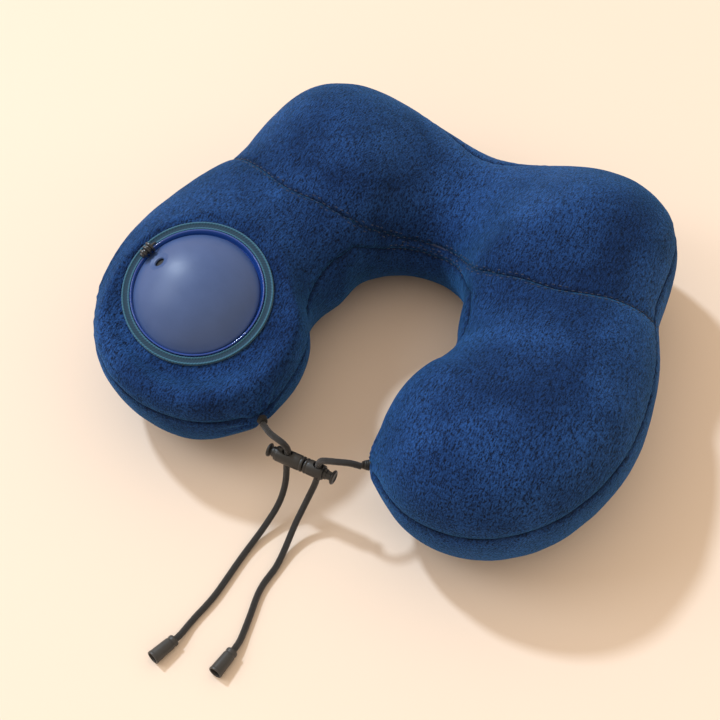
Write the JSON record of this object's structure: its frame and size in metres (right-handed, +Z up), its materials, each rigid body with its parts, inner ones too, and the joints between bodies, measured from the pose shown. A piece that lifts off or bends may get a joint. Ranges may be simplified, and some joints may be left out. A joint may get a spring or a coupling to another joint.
{
  "type": "u-shaped neck pillow",
  "caption": "U-shaped inflatable travel pillow in a velour cover, with a press pump on one arm and drawcords joined by a cord lock.",
  "frame": {"origin": "on the floor plane, below the middle of the pillow's box without its free cords", "axes": "+Z up, +Y to the back of the neck, +X from the pump arm to the other arm"},
  "size_m": [0.3408, 0.411, 0.0997],
  "materials": {
    "velour": "velour, short pile",
    "binding": "knitted edge band",
    "collar": "gloss",
    "base": "satin",
    "dome": "soft matte",
    "flap": "matte",
    "plug": "satin",
    "cord": "braided, satin",
    "lock": "satin moulded",
    "spring": "spring wire",
    "bell": "matte moulded",
    "film": "flocked film",
    "zip_tape": "woven tape",
    "zip_coil": "nylon coil",
    "zip_metal": "painted"
  },
  "bodies": {
    "pillow": {"cover_top_left": "velour", "cover_top_right": "velour", "cover_top_back": "velour", "cover_bottom": "velour", "air_bladder": "film", "cord_anchor_left": "cord", "cord_anchor_right": "cord", "pump_binding": "binding", "pump_collar": "collar", "pump_base": "base", "outlet_valve_flap": "flap", "lock_barrel_left": "lock", "lock_spring_left": "spring", "cord_left": "cord", "cord_right_upper": "cord", "cord_bell_left": "bell", "cord_knot_left": "cord", "zip_guard": "velour", "zip_tape_upper": "zip_tape", "zip_tape_lower": "zip_tape", "zip_coil": "zip_coil", "zip_stop": "zip_metal"},
    "pump_dome": {"pump_dome": "dome", "inlet_valve_flap": "flap"},
    "air_plug": {"air_plug": "plug", "plug_strap": "plug"},
    "lock_plunger_left": {"lock_plunger_left": "lock"},
    "lock_right": {"lock_barrel_right": "lock", "lock_spring_right": "spring", "cord_right_lower": "cord", "cord_bell_right": "bell", "cord_knot_right": "cord"},
    "lock_plunger_right": {"lock_plunger_right": "lock"},
    "zip_slider": {"zip_slider": "zip_metal"},
    "zip_pull": {"zip_pull": "zip_metal"}
  },
  "joints": [
    {"name": "dome_press", "type": "slide", "parent": "pillow", "child": "pump_dome", "axis": [-0.0995, 0.3075, -0.9463], "range_m": [0, 0.014], "stiffness_N_per_m": 900},
    {"name": "plug_flip", "type": "hinge", "parent": "pillow", "child": "air_plug", "pos_m": [-0.13945, -0.06007, 0.08813], "axis": [-0.9679, 0.1906, 0.1637], "range_deg": [0, 110]},
    {"name": "lock_press_left", "type": "slide", "parent": "pillow", "child": "lock_plunger_left", "axis": [1, 0, 0], "range_m": [0, 0.0016], "stiffness_N_per_m": 2500, "deforming": ["lock_spring_left"]},
    {"name": "lock_release", "type": "slide", "parent": "pillow", "child": "lock_right", "axis": [1, 0, 0], "range_m": [0, 0.014], "deforming": ["cord_right_upper"]},
    {"name": "lock_press_right", "type": "slide", "parent": "lock_right", "child": "lock_plunger_right", "axis": [-1, 0, 0], "range_m": [0, 0.0016], "stiffness_N_per_m": 2500, "deforming": ["lock_spring_right"]},
    {"name": "zip_slide", "type": "hinge", "parent": "pillow", "child": "zip_slider", "pos_m": [0, 0.009, 0.042], "axis": [0, 0, 1], "range_deg": [0, 108], "deforming": ["zip_coil"]},
    {"name": "zip_pull_swing", "type": "hinge", "parent": "zip_slider", "child": "zip_pull", "pos_m": [0.03012, 0.03049, 0.042], "axis": [0.8141, 0.5807, 0], "range_deg": [-45, 45]}
  ]
}
